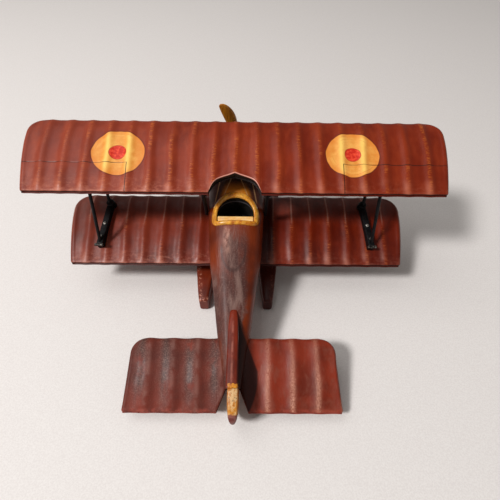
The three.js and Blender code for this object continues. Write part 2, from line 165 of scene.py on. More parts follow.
def wobble(x, y, z=0.0, scale=1.0):
    """A gentle hand-carved unevenness between about -1 and 1."""
    x, y, z = np.asarray(x) * scale, np.asarray(y) * scale, np.asarray(z) * scale
    return (np.sin(0.071 * x + 0.9 + 1.3 * np.sin(0.043 * y + 0.7)) * 0.45
            + np.sin(0.113 * y + 2.1 + 0.8 * np.sin(0.057 * x)) * 0.35
            + np.sin(0.191 * x - 0.157 * y + 0.12 * z + 0.4) * 0.2)


# Sideways drift of the carved ribs: (size, per mm of Y, per mm of X, start).
MEANDER = [(0.75, 0.048, 0.029, 0.6), (0.35, 0.117, -0.041, 2.0)]


def meander(x, y):
    """X with the ribs' hand-carved sideways drift added."""
    return x + sum(size * np.sin(per_y * y + per_x * x + start) for size, per_y, per_x, start in MEANDER)


# ==== material helpers ====

class Value:
    """A number or a colour in a material. Arithmetic on it adds nodes."""

    def __init__(self, socket):
        self.socket = socket
        self.tree = socket.id_data

    def math(self, operation, *others):
        return new_value(self.tree, "Math", dict(enumerate((self, *others))), operation=operation)

    def __add__(self, other):
        return self.math("ADD", other)

    def __sub__(self, other):
        return self.math("SUBTRACT", other)

    def __mul__(self, other):
        return self.math("MULTIPLY", other)

    def __truediv__(self, other):
        return self.math("DIVIDE", other)

    def __pow__(self, other):
        return self.math("POWER", other)

    def __abs__(self):
        return self.math("ABSOLUTE")

    def step(self, low, high):
        """0 below low to 1 above high, or the other way round when low is above high."""
        inputs = {"Value": self, "From Min": min(low, high), "From Max": max(low, high),
                  "To Min": low > high, "To Max": low <= high}
        return new_value(self.tree, "MapRange", inputs, interpolation_type="SMOOTHSTEP")


def fill(node, inputs):
    """Links or sets the node's inputs. A colour is given as three 8-bit screen values."""
    for key, value in inputs.items():
        socket = node.inputs[key]
        if isinstance(value, Value):
            node.id_data.links.new(value.socket, socket)
        elif socket.type == "RGBA":
            linear = (((v / 255 + 0.055) / 1.055) ** 2.4 if v > 10 else v / 255 / 12.92 for v in value)
            socket.default_value = (*linear, 1)
        else:
            socket.default_value = value


def new_value(tree, kind, inputs, output=0, **settings):
    """One output of a new node with these inputs and settings."""
    node = tree.nodes.new(f"ShaderNode{kind}")
    for key, setting in settings.items():
        setattr(node, key, setting)
    fill(node, inputs)
    return Value(node.outputs[output])


class Paint:
    """A procedural material, painted in the airframe's own millimetres, or the floats' when level."""

    def __init__(self, name, level=False):
        self.material = bpy.data.materials.new(name)
        self.material.use_nodes = True
        self.tree = self.material.node_tree
        origin = (0, FLOAT_SHIFT_Y * MM, 0) if level else AIRFRAME.translation
        point = new_value(self.tree, "TexCoord", {}, "Object")
        point = new_value(self.tree, "VectorMath", {0: point, 1: origin}, operation="SUBTRACT")
        turn = {"Vector": point, "Angle": 0 if level else -PITCH}
        point = new_value(self.tree, "VectorRotate", turn, rotation_type="X_AXIS")
        self.point = new_value(self.tree, "VectorMath", {0: point, "Scale": 1 / MM}, operation="SCALE")
        parts = (new_value(self.tree, "SeparateXYZ", {0: self.point}, axis) for axis in "XYZ")
        self.x, self.y, self.z = parts

    def noise(self, scale, detail, rough, stretch=(1, 1, 1), distortion=0.0):
        """Noise whose features are about 1/scale millimetres across."""
        point = new_value(self.tree, "VectorMath", {0: self.point, 1: stretch}, operation="MULTIPLY")
        return new_value(self.tree, "TexNoise", {"Vector": point, "Scale": scale, "Detail": detail,
                                                 "Roughness": rough, "Distortion": distortion})

    def mix(self, factor, a, b):
        return new_value(self.tree, "Mix", {0: factor, 6: a, 7: b}, 2, data_type="RGBA")

    def tint(self, mask, tone):
        """Moves the colour to the tone where the mask is 1."""
        self.color = self.mix(mask, self.color, tone)

    def meander_x(self):
        """X with the ribs' hand-carved sideways drift added, as meander() gives it."""
        total = self.x
        for size, per_y, per_x, start in MEANDER:
            total = total + (self.x * per_x + (self.y * per_y + start)).math("SINE") * size
        return total

    def crest(self, spec, power, shift=0.0):
        """1 on each rib crest, falling to 0 in the hollows, along X; shift moves it in millimetres."""
        start = 2 * pi * (spec.phase - shift / spec.pitch)
        wave = (self.meander_x() * (2 * pi / spec.pitch) + start).math("COSINE")
        return (wave * 0.5 + 0.5) ** power

    def done(self, rough, bump, distance, coat=0.0, metallic=0.0, spec=0.3):
        """Wires the colour, roughness and bump height (in millimetres) into the shader."""
        height = {"Strength": 1.0, "Distance": distance * MM, "Height": bump}
        shader = next(n for n in self.tree.nodes if n.type == "BSDF_PRINCIPLED")
        fill(shader, {"Base Color": self.color, "Roughness": rough, "Metallic": metallic, "Coat Weight": coat,
                      "Coat Roughness": 0.22, "Specular IOR Level": spec,
                      "Normal": new_value(self.tree, "Bump", height)})
        return self.material


def distance_to(x, y):
    """Distance in the plane, from the offsets along X and Y."""
    return (x * x + y * y).math("SQRT")


def upper_wing_marks(p, spec):
    """Roundels, scribed ailerons, and the arch's face in painted shade with a painted highlight along its
    edge.
    """
    wander = (p.noise(0.035, 2, 0.5) - 0.5) * 4.0
    r = distance_to(abs(p.x) - ROUNDEL.x, (p.y - ROUNDEL.y) * ROUNDEL.squash) + wander
    bright = p.mix(p.noise(0.05, 3, 0.6).step(0.35, 0.68), (212, 134, 54), (228, 164, 80))
    lines = p.noise(0.5, 2, 0.55, (0.1, 1.2, 1)).step(0.5, 0.72)
    bright = p.mix(lines * 0.3, bright, (206, 120, 36))
    bright = p.mix(p.crest(spec, 6) * 0.7, bright, (252, 212, 112))
    edge = r.step(ROUNDEL.radius - 9, ROUNDEL.radius - 1)
    bright = p.mix(edge * 0.45, bright, (216, 122, 44))
    # Turned pencil rings show in the paint towards the edge.
    rings = (r * 1.15).math("SINE").step(0.82, 1.0)
    faint_ring = rings * r.step(20, 32) * p.noise(0.05, 2, 0.5).step(0.5, 0.6)
    bright = p.mix(faint_ring * 0.6, bright, (190, 110, 40))
    red = p.mix(p.noise(0.25, 3, 0.6).step(0.4, 0.65), (190, 36, 20), (226, 74, 46))
    disc = r.step(ROUNDEL.radius + 0.5, ROUNDEL.radius - 0.5)
    ring = abs(r - (ROUNDEL.radius + 1.0)).step(1.3, 0.3)
    dot_edge = abs(r - ROUNDEL.dot).step(0.9, 0.2)
    dot = r.step(ROUNDEL.dot + 0.4, ROUNDEL.dot - 0.4)
    on_top = p.z.step(1.0, 2.0)
    p.tint(ring * on_top * 0.7, (96, 34, 18))
    bright = p.mix(dot, bright, red)
    bright = p.mix(dot_edge * 0.5, bright, (130, 34, 16))
    p.tint(disc * on_top, bright)
    # Scribed outline of each aileron.
    ax = abs(p.x)
    along_x = abs(p.y - AILERON.y).step(0.8, 0.3) * ax.step(AILERON.x - 0.6, AILERON.x)
    along_y = abs(ax - AILERON.x).step(0.8, 0.3) * p.y.step(AILERON.y + 0.6, AILERON.y)
    faint = p.noise(0.04, 2, 0.5).step(0.4, 0.6) * 0.4 + 0.5
    groove = (along_x * faint).math("MAXIMUM", along_y * 0.95)
    p.tint(groove * on_top, (34, 16, 12))
    # The arch's face is painted near-black, as painted shade over dark varnish, with a painted highlight
    # along its upper edge.
    u = (ax / ARCH.half).math("MINIMUM", 1.0)
    drop = u ** ARCH.power * (1 - ARCH.linear) + u * ARCH.linear
    from_arch = p.y - (drop * -ARCH.depth + (ARCH.depth + spec.tail))
    near_arch = ax.step(ARCH.half + 1.5, ARCH.half - 1)
    edge = abs(from_arch - 1.5).step(1.0, 0.3)
    upper_lip = p.z.step(1.5, 3.0)
    p.tint(edge * near_arch * (upper_lip * 0.6), (240, 176, 156))
    p.tint(from_arch.step(0.9, 0.4) * near_arch, (26, 8, 4))
    p.tint(from_arch.step(3.0, 2.0) * (near_arch * p.z.step(3.0, 1.5)), (20, 6, 3))


def wing_paint(name, spec, tones, tail_wear_and_sheen=1.0, front_shade=0.0, shade=0.0, roundels=False):
    """Red-brown paint over ribs: worn crests, hollows in painted shade, a scuffed band along the trailing
    edge with painted sheen and highlights, and more painted shade and sheen across the wing.
    """
    p = Paint(name)
    dark, middle, light, worn, scuff_and_sheen = tones
    cloud = p.noise(0.014, 3, 0.6)
    patch = p.noise(0.05, 4, 0.62, (1, 0.35, 1))
    grain = p.noise(0.5, 3, 0.6, (0.1, 1, 1))
    p.color = p.mix(cloud.step(0.34, 0.68), dark, middle)
    p.tint(patch.step(0.42, 0.74) * 0.7, light)
    p.tint(grain.step(0.48, 0.72) * 0.16, dark)
    # Painted shade darkens the right half; a painted pink sheen lightens the left half, toward the window.
    p.tint(p.x.step(0, 300) * 0.35, dark)
    p.tint(p.x.step(60, -300) * 0.16, (168, 104, 88))
    # Crests: rubbed through in short strokes laid across the rib.
    wave = (p.meander_x() * (2 * pi / spec.pitch)).math("COSINE")
    line = wave.step(0.72, 0.995)
    strokes = p.noise(0.62, 2, 0.55, (0.2, 1.6, 1)).step(0.5, 0.62)
    patchy = p.noise(0.02, 2, 0.5).step(0.36, 0.6)
    p.tint(p.crest(spec, 3) * 0.3, light)
    above = p.z.step(spec.base + 1.2, spec.base + 2.4)
    p.tint(line * patchy * (strokes * above * 0.55), worn)
    # Painted shade in the hollow next to each crest, on the side away from the window.
    p.tint(p.crest(spec, 4, shift=spec.pitch * 0.3) * 0.22, dark)
    from_tail = p.y - spec.tail
    # Painted shade, greyed by a painted sheen, over the leading third, where the upper wing shades the lower
    # one.
    front_shade = above * front_shade
    p.tint(from_tail.step(66, 104) * front_shade, (88, 62, 56))
    pale_line = wave.step(0.94, 1.0) * front_shade
    p.tint(pale_line * from_tail.step(60, 90) * 1.2, (168, 128, 116))
    # Painted shadow of the fuselage on the wing just right of it.
    beside = p.x.step(63, 59) * p.x.step(10, 30)
    p.tint(beside * above * shade, (22, 4, 3))
    # Specks rubbed through along the trailing edge, heavier on the window side as painted sheen.
    near_tail = from_tail.step(30, 3)
    speck = p.noise(0.22, 5, 0.72, (0.6, 1, 1)).step(0.44, 0.72)
    window_side = p.x.step(90, -140) * 0.75 + 0.25
    wear_and_sheen = near_tail * speck * window_side
    p.tint(wear_and_sheen * (0.42 * tail_wear_and_sheen), scuff_and_sheen)
    # A painted highlight along the trailing edge itself, on the window side.
    trailing_edge_highlight = from_tail.step(4.5, 0.8) * (p.noise(0.07, 3, 0.6).step(0.42, 0.6) * window_side)
    p.tint(trailing_edge_highlight * (0.35 * tail_wear_and_sheen), scuff_and_sheen)
    # Painted highlights on the crests near the trailing edge.
    crest_highlight = p.crest(spec, 4, shift=-2.5) * from_tail.step(26, 6) * p.noise(0.03, 2, 0.5).step(0.34, 0.56)
    p.tint(crest_highlight * (0.4 * tail_wear_and_sheen), scuff_and_sheen)
    # Thin dark line on the trailing face and the tips: painted shade, with varnish gathered there.
    face = from_tail.step(0.7, 0.1) * p.z.step(spec.base + 4.0, spec.base + 3.2)
    p.tint(face * 0.92, (34, 10, 8))
    rough = p.noise(0.1, 4, 0.65) * 0.22 + 0.3 + wear_and_sheen * 0.1
    height = grain * 0.25 + p.noise(0.06, 4, 0.6) * 0.8
    # The underside is painted darker: painted shade.
    under = p.z.step(spec.base + 1.2, spec.base + 0.1)
    p.tint(under * 0.5, dark)
    if roundels:
        upper_wing_marks(p, spec)
    return p.done(rough, height, 0.5, coat=0.04, spec=0.22)


def carved_paint(name, tones, along, patina, rough, blend=(0.4, 0.62), level=False):
    """Paint rubbed back to a grey patina in brushed streaks, with bare specks."""
    p = Paint(name, level)
    base, deep, pale, fleck = tones
    streak = p.noise(0.09, 5, 0.62, along, 0.6)
    fine = p.noise(0.5, 3, 0.6, along)
    p.color = p.mix(p.noise(0.02, 3, 0.55).step(0.38, 0.64), base, deep)
    p.tint(streak.step(*blend) * patina, pale)
    p.tint(fine.step(0.5, 0.7) * 0.3, deep)
    p.tint(p.noise(0.3, 4, 0.7).step(0.64, 0.76) * 0.3, fleck)
    return p, p.noise(0.1, 4, 0.6) * 0.28 + (rough - 0.08), streak * 0.8 + fine * 0.35


def grained_paint(name, noise, blend, tones, flecks, rough, distance, **finish):
    """One noise blends two tones, roughens the surface and raises it, with flecks of other tones over it."""
    p = Paint(name)
    grain = p.noise(*noise)
    p.color = p.mix(grain.step(*blend), *tones)
    for spots, share, amount, tone in flecks:
        p.tint(p.noise(*spots).step(*share) * amount, tone)
    return p.done(grain * rough[0] + rough[1], grain, distance, **finish)


# ==== materials ====

UPPER_TONES = [(102, 24, 2), (130, 40, 10), (148, 56, 24), (202, 110, 46), (190, 114, 88)]
LOWER_TONES = [(78, 14, 1), (112, 28, 2), (128, 40, 10), (180, 96, 52), (176, 112, 94)]
upper_material = wing_paint("upper_wing_paint", UPPER, UPPER_TONES, roundels=True)
lower_material = wing_paint("lower_wing_paint", LOWER, LOWER_TONES, tail_wear_and_sheen=1.3, front_shade=0.4, shade=0.65)


# Near-black tone of the fin's painted shadow.
FIN_SHADOW_TONE = (20, 2, 2)


def fin_shadow(p):
    """How strongly the fin's cast shadow is painted on the wood along its right side."""
    ahead = p.y * -0.4 - 59.8
    behind = (p.y * -1.0 - 243.0).math("MAXIMUM", 0.0)
    behind = behind * behind * -0.0057 + 34.5
    edge = ahead.math("MINIMUM", behind)
    inside = (p.x - edge).step(1.5, -1.5)
    return inside * p.x.step(0.0, 3.0) * 0.85


def tail_material():
    p, rough, height = carved_paint(
        "tailplane_paint", [(126, 42, 22), (98, 30, 14), (124, 70, 56), (180, 124, 100)],
        along=(1, 0.5, 1), patina=0.4, rough=0.36, blend=(0.45, 0.7))
    # The left half has worn to a grey patina on the ribs' outer slopes, painted heavier on the window-facing
    # slopes as painted sheen.
    left = p.x.step(10, -16)
    slope = p.crest(TAIL, 1.6, shift=-TAIL.pitch * 0.26)
    cloudy = p.noise(0.035, 4, 0.62, (1, 0.6, 1)).step(0.28, 0.5)
    ahead = p.y.step(TAIL.tail + 4, TAIL.tail + 40)
    grey = left * cloudy * ((slope * 0.7 + 0.25) * (ahead * 0.6 + 0.4))
    mottle = p.mix(p.noise(0.6, 3, 0.7).step(0.46, 0.66), (60, 38, 34), (112, 84, 74))
    p.tint(grey * 0.95, mottle)
    # Painted shade on the ribs' slopes facing away from the window, on the left half.
    shade = p.crest(TAIL, 2, shift=TAIL.pitch * 0.26) * left
    p.tint(shade * 0.45, (60, 24, 18))
    ridge = p.crest(TAIL, 12, shift=1.5) * left * p.noise(0.05, 3, 0.6).step(0.38, 0.6)
    p.tint(ridge * 0.26, (150, 118, 108))
    # Pale dashed streaks on the window side of the crests, on the right half: painted highlights, with some
    # wear.
    dashes = p.noise(0.9, 3, 0.7).step(0.34, 0.72)
    rear_half = p.y.step(-215, -250) * 0.5 + 0.5
    above = p.z.step(TAIL.base + 1.0, TAIL.base + 2.0)
    line = p.crest(TAIL, 9, shift=-3.5) * p.x.step(30, 50) * (dashes * (rear_half * above))
    p.tint(line * 0.95, (216, 158, 132))
    # Painted shadow cast by the fin on the tailplane along its right side.
    p.tint(fin_shadow(p) * above, FIN_SHADOW_TONE)
    edge = (p.y - TAIL.tail).step(6, 1) * p.noise(0.12, 3, 0.6).step(0.4, 0.6)
    p.tint(edge * 0.35, (170, 76, 60))
    return p.done(rough + left * 0.2, height, 0.5, coat=0.03, spec=0.25)


def fuselage_material():
    p, rough, height = carved_paint(
        "fuselage_paint", [(114, 40, 4), (84, 25, 2), (112, 76, 68), (150, 104, 90)],
        along=(1, 0.14, 0.6), patina=0.0, rough=0.3)
    # Grey-purple patina lies on the top and the left shoulder, in brushed streaks.
    streak = p.noise(0.07, 5, 0.66, (1, 0.12, 0.6), 0.8)
    lean = p.x + (p.noise(0.03, 3, 0.6) - 0.5) * 26.0
    share = lean / p.y.step(-330, 60)
    side = share.step(42, 26)
    upper_part = p.z.step(-104, -78)
    patina = side * upper_part * (streak.step(0.3, 0.56) * 0.6 + 0.35)
    # Ahead of the fin it keeps to the middle, so the flanks beside the coaming stay red.
    middle = abs(p.x + 2.0).step(27, 13)
    patina = patina * middle.math("MAXIMUM", p.y.step(-78, -118))
    behind = p.y.step(-22, -60)
    p.tint(patina * (behind * 0.75 + 0.1), (58, 34, 31))
    pale = p.noise(0.05, 4, 0.66, (1, 0.3, 0.6), 1.2).step(0.46, 0.7)
    pale = pale * (p.y.step(-230, -130) * 0.7 + 0.3)
    p.tint(patina * pale * 0.75, (128, 100, 91))
    grit = p.noise(0.6, 3, 0.7).step(0.5, 0.66)
    p.tint(patina * grit * 0.3, (140, 108, 98))
    # Painted shadow cast by the fin on the fuselage along its right side.
    p.tint(fin_shadow(p) * p.z.step(-94, -86), FIN_SHADOW_TONE)
    # A pale band runs back from the coaming as a painted highlight, and a carved curve sits behind it.
    band = abs(p.x + 12.0).step(8, 1) * p.y.step(-26, -34) * p.y.step(-86, -44)
    p.tint(band * p.noise(0.12, 4, 0.7, (1, 0.4, 1)).step(0.34, 0.6) * 0.75, (190, 140, 122))
    arc = abs(distance_to(p.x + 2.0, (p.y + 62.0) * 0.53) - 18.0).step(2.4, 0.4) * p.y.step(-54, -68)
    p.tint(arc * upper_part * 0.55, (52, 26, 22))
    rough = rough + patina * behind * 0.36
    # Ahead of the cockpit the deck is painted dark brown, partly as painted shadow under the upper wing, with
    # an amber patch against the coaming.
    ahead = p.y.step(8, 18) * p.z.step(-76, -62)
    width = abs(p.x)
    deck = p.mix(width.step(14, 32), (34, 22, 12), (66, 30, 22))
    p.tint(ahead * 0.95, deck)
    glow = p.y.step(46, 27) * ahead * (width + p.y * 0.3).step(34, 22)
    p.tint(glow * (p.noise(0.12, 3, 0.6) * 0.5 + 0.6), (200, 118, 20))
    # Pale scribed lines fan out ahead of the cockpit.
    for start, slope in ((19.0, -0.42), (31.0, -0.2)):
        line_x = p.y * slope + (start - slope * 20)
        near = abs(width - line_x).step(1.5, 0.3)
        p.tint(near * ahead * (p.y.step(68, 50) * 0.6), (186, 146, 100))
    return p.done(rough + ahead * 0.2, height, 0.7, coat=0.03)


def fin_material():
    p, rough, height = carved_paint(
        "fin_paint", [(118, 34, 10), (88, 22, 5), (140, 64, 42), (180, 104, 78)],
        along=(0.6, 0.1, 0.6), patina=0.35, rough=0.3, blend=(0.5, 0.7))
    # A pale pink line along the fin's top: painted highlight.
    line = abs(p.x + 0.5).step(2.2, 0.3) * p.noise(0.06, 3, 0.6).step(0.35, 0.6)
    p.tint(line * 0.28, (206, 132, 112))
    wander = (p.noise(0.3, 3, 0.6) - 0.5) * 5.0
    # The fin's right side face is painted darker: painted shade.
    p.tint(p.x.step(5.6, 7.2) * 0.6, (24, 3, 3))
    amber_end = (p.y + wander).step(-252.0, -253.4) * (p.x + wander * 0.4).step(-5.6, -4.8)
    gold = p.mix(p.noise(0.4, 3, 0.65).step(0.42, 0.6), (214, 142, 44), (168, 96, 30))
    p.tint(amber_end, gold)
    return p.done(rough, height, 0.5, coat=0.08)


def rudder_material():
    p, rough, height = carved_paint(
        "rudder_paint", [(206, 138, 44), (172, 100, 26), (214, 178, 126), (84, 46, 20)],
        along=(1.6, 0.7, 0.7), patina=0.9, rough=0.42, blend=(0.44, 0.56))
    fleck = p.noise(0.5, 3, 0.7, (1, 0.7, 1)).step(0.57, 0.63)
    p.tint(fleck * 0.8, (78, 44, 22))
    # The rudder's side faces are painted darker: painted shade.
    side = abs(p.x - RUDDER_X).step(4.6, 6.6)
    p.tint(side * 0.7, (150, 84, 22))
    wander = (p.noise(0.16, 3, 0.6) - 0.5) * 7.0
    along = p.y + wander
    tip = along.step(-288.5, -290.5)
    red = p.mix(p.noise(0.14, 3, 0.6).step(0.4, 0.6), (98, 28, 18), (128, 76, 66))
    p.tint(tip, red)
    return p.done(rough, height, 0.6, coat=0.05)


def amber_material():
    p = Paint("amber_paint")
    streak = p.noise(0.14, 4, 0.6, (1, 0.5, 1))
    p.color = p.mix(streak.step(0.34, 0.64), (188, 108, 16), (240, 176, 64))
    p.tint(p.noise(0.4, 3, 0.65).step(0.56, 0.68) * 0.5, (142, 66, 16))
    p.tint(p.noise(0.05, 2, 0.5).step(0.5, 0.7) * 0.35, (252, 212, 120))
    low = p.noise(0.1, 3, 0.6).step(0.4, 0.6)
    p.tint(low * 0.4, (136, 66, 12))
    rough = p.noise(0.2, 3, 0.6) * 0.2 + 0.18
    return p.done(rough, streak + p.noise(0.5, 2, 0.5) * 0.3, 0.4, coat=0.3)


def float_material():
    p, rough, height = carved_paint(
        "float_paint", [(112, 34, 6), (82, 20, 2), (124, 62, 38), (196, 130, 104)],
        along=(1, 0.1, 0.6), patina=0.3, rough=0.36, blend=(0.5, 0.74), level=True)
    # Scuffs along the outer deck edge and across the stern.
    outer = abs(p.x) - (p.y * 0.1 + 64.0)
    rub = abs(outer).step(4.5, 0.5)
    stern = p.y.step(-57, -64)
    chips = p.noise(0.2, 4, 0.7).step(0.5, 0.62)
    mask = rub.math("MAXIMUM", stern) * chips * p.z.step(20, 27)
    p.tint(mask * 0.7, (206, 140, 116))
    # The right float is painted darker: painted shadow of the fuselage.
    p.tint(p.x.step(-5, 5) * 0.7, (50, 8, 3))
    return p.done(rough, height, 0.6, coat=0.05)


def black_material():
    p = Paint("strut_black")
    cloud = p.noise(0.15, 4, 0.6)
    p.color = p.mix(cloud.step(0.35, 0.7), (5, 5, 6), (20, 19, 21))
    worn = p.noise(0.4, 4, 0.7).step(0.66, 0.74)
    p.tint(worn * 0.5, (104, 94, 84))
    return p.done(cloud * 0.3 + 0.36, cloud + worn * -0.4, 0.25, spec=0.14)


def hollow_material():
    p = Paint("cockpit_black")
    cloud = p.noise(0.12, 4, 0.65)
    p.color = p.mix(cloud.step(0.4, 0.7), (12, 10, 9), (40, 36, 32))
    # A faint pale line round the front of the hollow: a painted highlight on the inner lip.
    level = abs(p.z + 57.0).step(2.2, 0.8)
    p.tint(level * p.y.step(0, 8) * 0.7, (120, 112, 118))
    return p.done(cloud * 0.3 + 0.4, cloud, 0.5)


tailplane_material = tail_material()
body_material = fuselage_material()
fin_paint_material = fin_material()
rudder_paint_material = rudder_material()
amber = amber_material()
seat_wood = grained_paint(
    "seat_wood", (0.35, 4, 0.6, (0.15, 1, 1)), (0.35, 0.66), [(226, 168, 88), (246, 206, 138)],
    [((0.12, 3, 0.6), (0.5, 0.7), 0.4, (206, 184, 160))], (0.2, 0.34), 0.3, coat=0.05)
prop_wood = grained_paint(
    "propeller_wood", (0.3, 4, 0.62, (1, 1, 0.12), 0.8), (0.32, 0.66), [(148, 88, 12), (188, 120, 26)],
    [((0.8, 2, 0.5, (1, 1, 0.08)), (0.5, 0.7), 0.3, (112, 60, 10))], (0.22, 0.26), 0.35, coat=0.15)
float_paint = float_material()
black = black_material()
steel = grained_paint(
    "dull_steel", (0.6, 4, 0.65), (0.35, 0.68), [(112, 108, 102), (188, 184, 176)],
    [((1.4, 3, 0.6), (0.58, 0.7), 0.5, (96, 66, 44))], (0.3, 0.25), 0.08, metallic=0.85)
steel_black = grained_paint(
    "blackened_steel", (0.5, 4, 0.65), (0.45, 0.62), [(24, 23, 23), (112, 106, 98)],
    [], (0.3, 0.25), 0.1, metallic=0.5)
pale_floor = grained_paint(
    "pale_floor", (0.5, 3, 0.6), (0.3, 0.7), [(216, 211, 208), (226, 222, 219)],
    [], (0.0, 0.7), 0.05, spec=0.2)
cockpit_black = hollow_material()


# ==== wings and tailplane ====

BOARD_TOP = [(0.0, 3.7), (0.004, 4.4), (0.012, 4.75), (0.05, 5.55), (0.1, 6.6), (0.28, 9.6), (0.48, 12.2),
             (0.68, 13.4), (0.84, 12.2), (0.94, 9.2), (0.985, 6.0), (1.0, 3.4)]
BOARD_UNDER = [(0.985, 1.1), (0.94, 0.1), (0.5, 0.0), (0.02, 0.0), (0.004, 0.25), (0.0, 0.9)]
SECTION = spline(BOARD_TOP + BOARD_UNDER, 6, closed=True)
TOP_COUNT = (len(BOARD_TOP) - 1) * 6
WING_RISE = 1.25


def rib_height(x, spec, rise):
    """Height of the ribs above the mean surface: narrow crests and wide hollows."""
    wave = np.cos(2 * pi * (np.asarray(x) / spec.pitch + spec.phase))
    return ((0.5 + 0.5 * wave) ** spec.sharp * 2 - 0.85) * rise


def carved_board(name, spec, material, rise, thickness, rear_edge, dense, grooves=None):
    """A ribbed board: stations across the span, one closed section at each."""
    half, chord, bulge, corner = spec.half, spec.chord, spec.bulge, spec.corner
    offsets = (-1.0, -0.45, 0, 0.45, 1.0)
    stations = list(np.arange(0, half - 9, 1.55)) + list(half - 9 * np.cos(np.linspace(0, pi / 2, 12)))
    stations += list(np.arange(0, dense, 0.6))
    if grooves:
        stations += [grooves.x * half / (half + bulge * 0.2) + d for d in offsets]
    stations = np.array(sorted(set(np.round(s, 3) for s in stations if s <= half)))
    t, z = SECTION.T
    is_top = np.arange(len(t)) <= TOP_COUNT
    top_t, top_z = SECTION[:TOP_COUNT].T
    if grooves:
        for fraction in ((grooves.y - spec.tail + d) / chord for d in offsets):
            k = int(np.searchsorted(t[:TOP_COUNT], fraction))
            z = np.insert(z, k, np.interp(fraction, t[:TOP_COUNT], z[:TOP_COUNT]))
            t = np.insert(t, k, fraction)
            is_top = np.insert(is_top, k, True)
    lead = np.clip((t * chord - (chord - corner)) / corner, 0, 1)
    bow = bulge * (1 - (1 - np.minimum(1, t * 1.5)) ** 1.6)
    reach = half + bow - corner * (1 - np.sqrt(1 - lead ** 2))
    tail_round = 1.8 * (1 - np.sqrt(1 - np.clip(1 - t * chord / 3.0, 0, 1) ** 2))
    loops = []
    for x0 in np.concatenate([-stations[:0:-1], stations]):
        share = abs(x0) / half
        x = x0 / half * (half + (reach - half - tail_round) * smooth_steps(share, 0.55, 1))
        ridge = rib_height(meander(x, spec.tail + t * chord), spec, rise)
        ridge = ridge + 0.3 * wobble(x, t * chord, scale=1.4)
        fade = (smooth_steps(t, 0.0, 0.08) * 0.6 + 0.4) * (1 - 0.8 * smooth_steps(t, 0.9, 1.0))
        ends = 1 - smooth_steps(share, 0.965, 1.0)
        rear = rear_edge(np.abs(x))
        y = spec.tail + rear + t * (chord - rear)
        true_t = (y - spec.tail) / chord
        top_here = np.interp(true_t, top_t, top_z) * thickness
        body_z = z * thickness
        if rear.max() > 0.5:
            edge = np.clip(t * chord / 3.0, 0, 1)
            rounded = top_here * (0.72 + 0.28 * np.sqrt(1 - (1 - edge) ** 2))
            blend = smooth_steps(rear, 0.5, 5)
            body_z = np.where(is_top, body_z * (1 - blend) + rounded * blend, body_z)
        height = np.where(is_top, body_z + ridge * fade * ends, body_z)
        scallop = rib_height(x, spec, 1.0)
        y = y + np.where(t < 0.03, -0.25 * scallop * ends, 0) + np.where(t > 0.9, 0.45 * scallop * ends, 0)
        middle = 0.42 * top_here
        edge = np.clip((1 - share) * half / (7.0 * thickness), 0, 1)
        height = middle + (height - middle) * np.maximum(0.3, np.sqrt(1 - (1 - edge) ** 2))
        if grooves:
            ax = np.abs(x)
            d1 = np.where(ax > grooves.x - 0.3, np.abs(y - grooves.y), 9)
            d2 = np.where(y < grooves.y + 0.3, np.abs(ax - grooves.x), 9)
            cut = np.clip(1 - np.minimum(d1, d2) / 0.95, 0, 1) * grooves.depth
            height = np.where(is_top, height - cut * ends, height)
        loops.append(np.stack([x, y, spec.base + height], 1))
    return add_object(name, *skin(loops), material)


# How far forward the trailing edge is cut, at a distance from the middle.

def arch_edge(ax):
    u = np.clip(ax / ARCH.half, 0, 1)
    return ARCH.depth * (1 - ARCH.linear * u - (1 - ARCH.linear) * u ** ARCH.power)


def notch_edge(ax):
    slope = np.clip((NOTCH.half_back - ax) / (NOTCH.half_back - NOTCH.half_front), 0, 1)
    return slope * (NOTCH.front - TAIL.tail)


def straight_edge(ax):
    return np.zeros_like(ax)


upper = carved_board("upper_wing_board", UPPER, upper_material, WING_RISE, 1.0, arch_edge, 39, AILERON)
finish_piece(upper, "wing_paint", "upper_wing")
lower = carved_board("lower_wing_board", LOWER, lower_material, WING_RISE, 1.0, straight_edge, 0)
finish_piece(lower, "wing_paint", "lower_wing")
tail = carved_board("tailplane_board", TAIL, tailplane_material, 1.1, 0.68, notch_edge, 24)
finish_piece(tail, "tail_paint", "tailplane")


# ==== fuselage ====

FUSELAGE = [
    (-258.5, 12.3, -71, -96, 2.3), (-225, 18, -69.5, -99, 2.3), (-190, 23.2, -67, -102, 2.4),
    (-151, 28.5, -62.5, -106, 2.5), (-104, 34.7, -56, -112, 2.6), (-78, 38.9, -52, -116, 2.6),
    (-40, 42, -47.5, -119, 2.7), (0, 43.8, -45.5, -120, 2.7), (40, 44.6, -42.5, -121, 2.6),
    (70, 45, -38.5, -123, 2.3), (95, 45, -35, -125, 2.0),
]
FUSELAGE_FINE = spline(FUSELAGE, 10)
COCKPIT = Measures(back=-20.0, front=18.5, half=28.5, floor=-100.0, rim=8.0)


def fuselage_section(y):
    """Half width, top, bottom and roundness of the fuselage at y."""
    return [np.interp(y, FUSELAGE_FINE[:, 0], FUSELAGE_FINE[:, k]) for k in range(1, 5)]


def deck_height(x, y):
    """Height of the fuselage's upper surface."""
    half, top, bottom, power = fuselage_section(y)
    inside = np.clip(1 - np.clip(abs(x) / half, 0, 1) ** power, 0, 1) ** (1 / power)
    return (top + bottom) / 2 + (top - bottom) / 2 * inside


def cockpit_outline(grow, steps=40):
    """D shape, flat behind and round in front."""
    half = COCKPIT.half + grow
    back = COCKPIT.back - grow * 0.75
    front = COCKPIT.front + grow
    shoulder = back + 11
    outline = []
    for i in range(steps + 1):
        angle = pi * i / steps
        outline.append((half * cos(angle), shoulder + (front - shoulder) * sin(angle) ** 0.85))
    outline += [(-half * 0.985, back + 5), (-half * 0.93, back + 1.4), (-half * 0.8, back)]
    outline += [(x * half, back) for x in (-0.4, 0, 0.4, 0.8)]
    outline += [(half * 0.93, back + 1.4), (half * 0.985, back + 5)]
    return outline


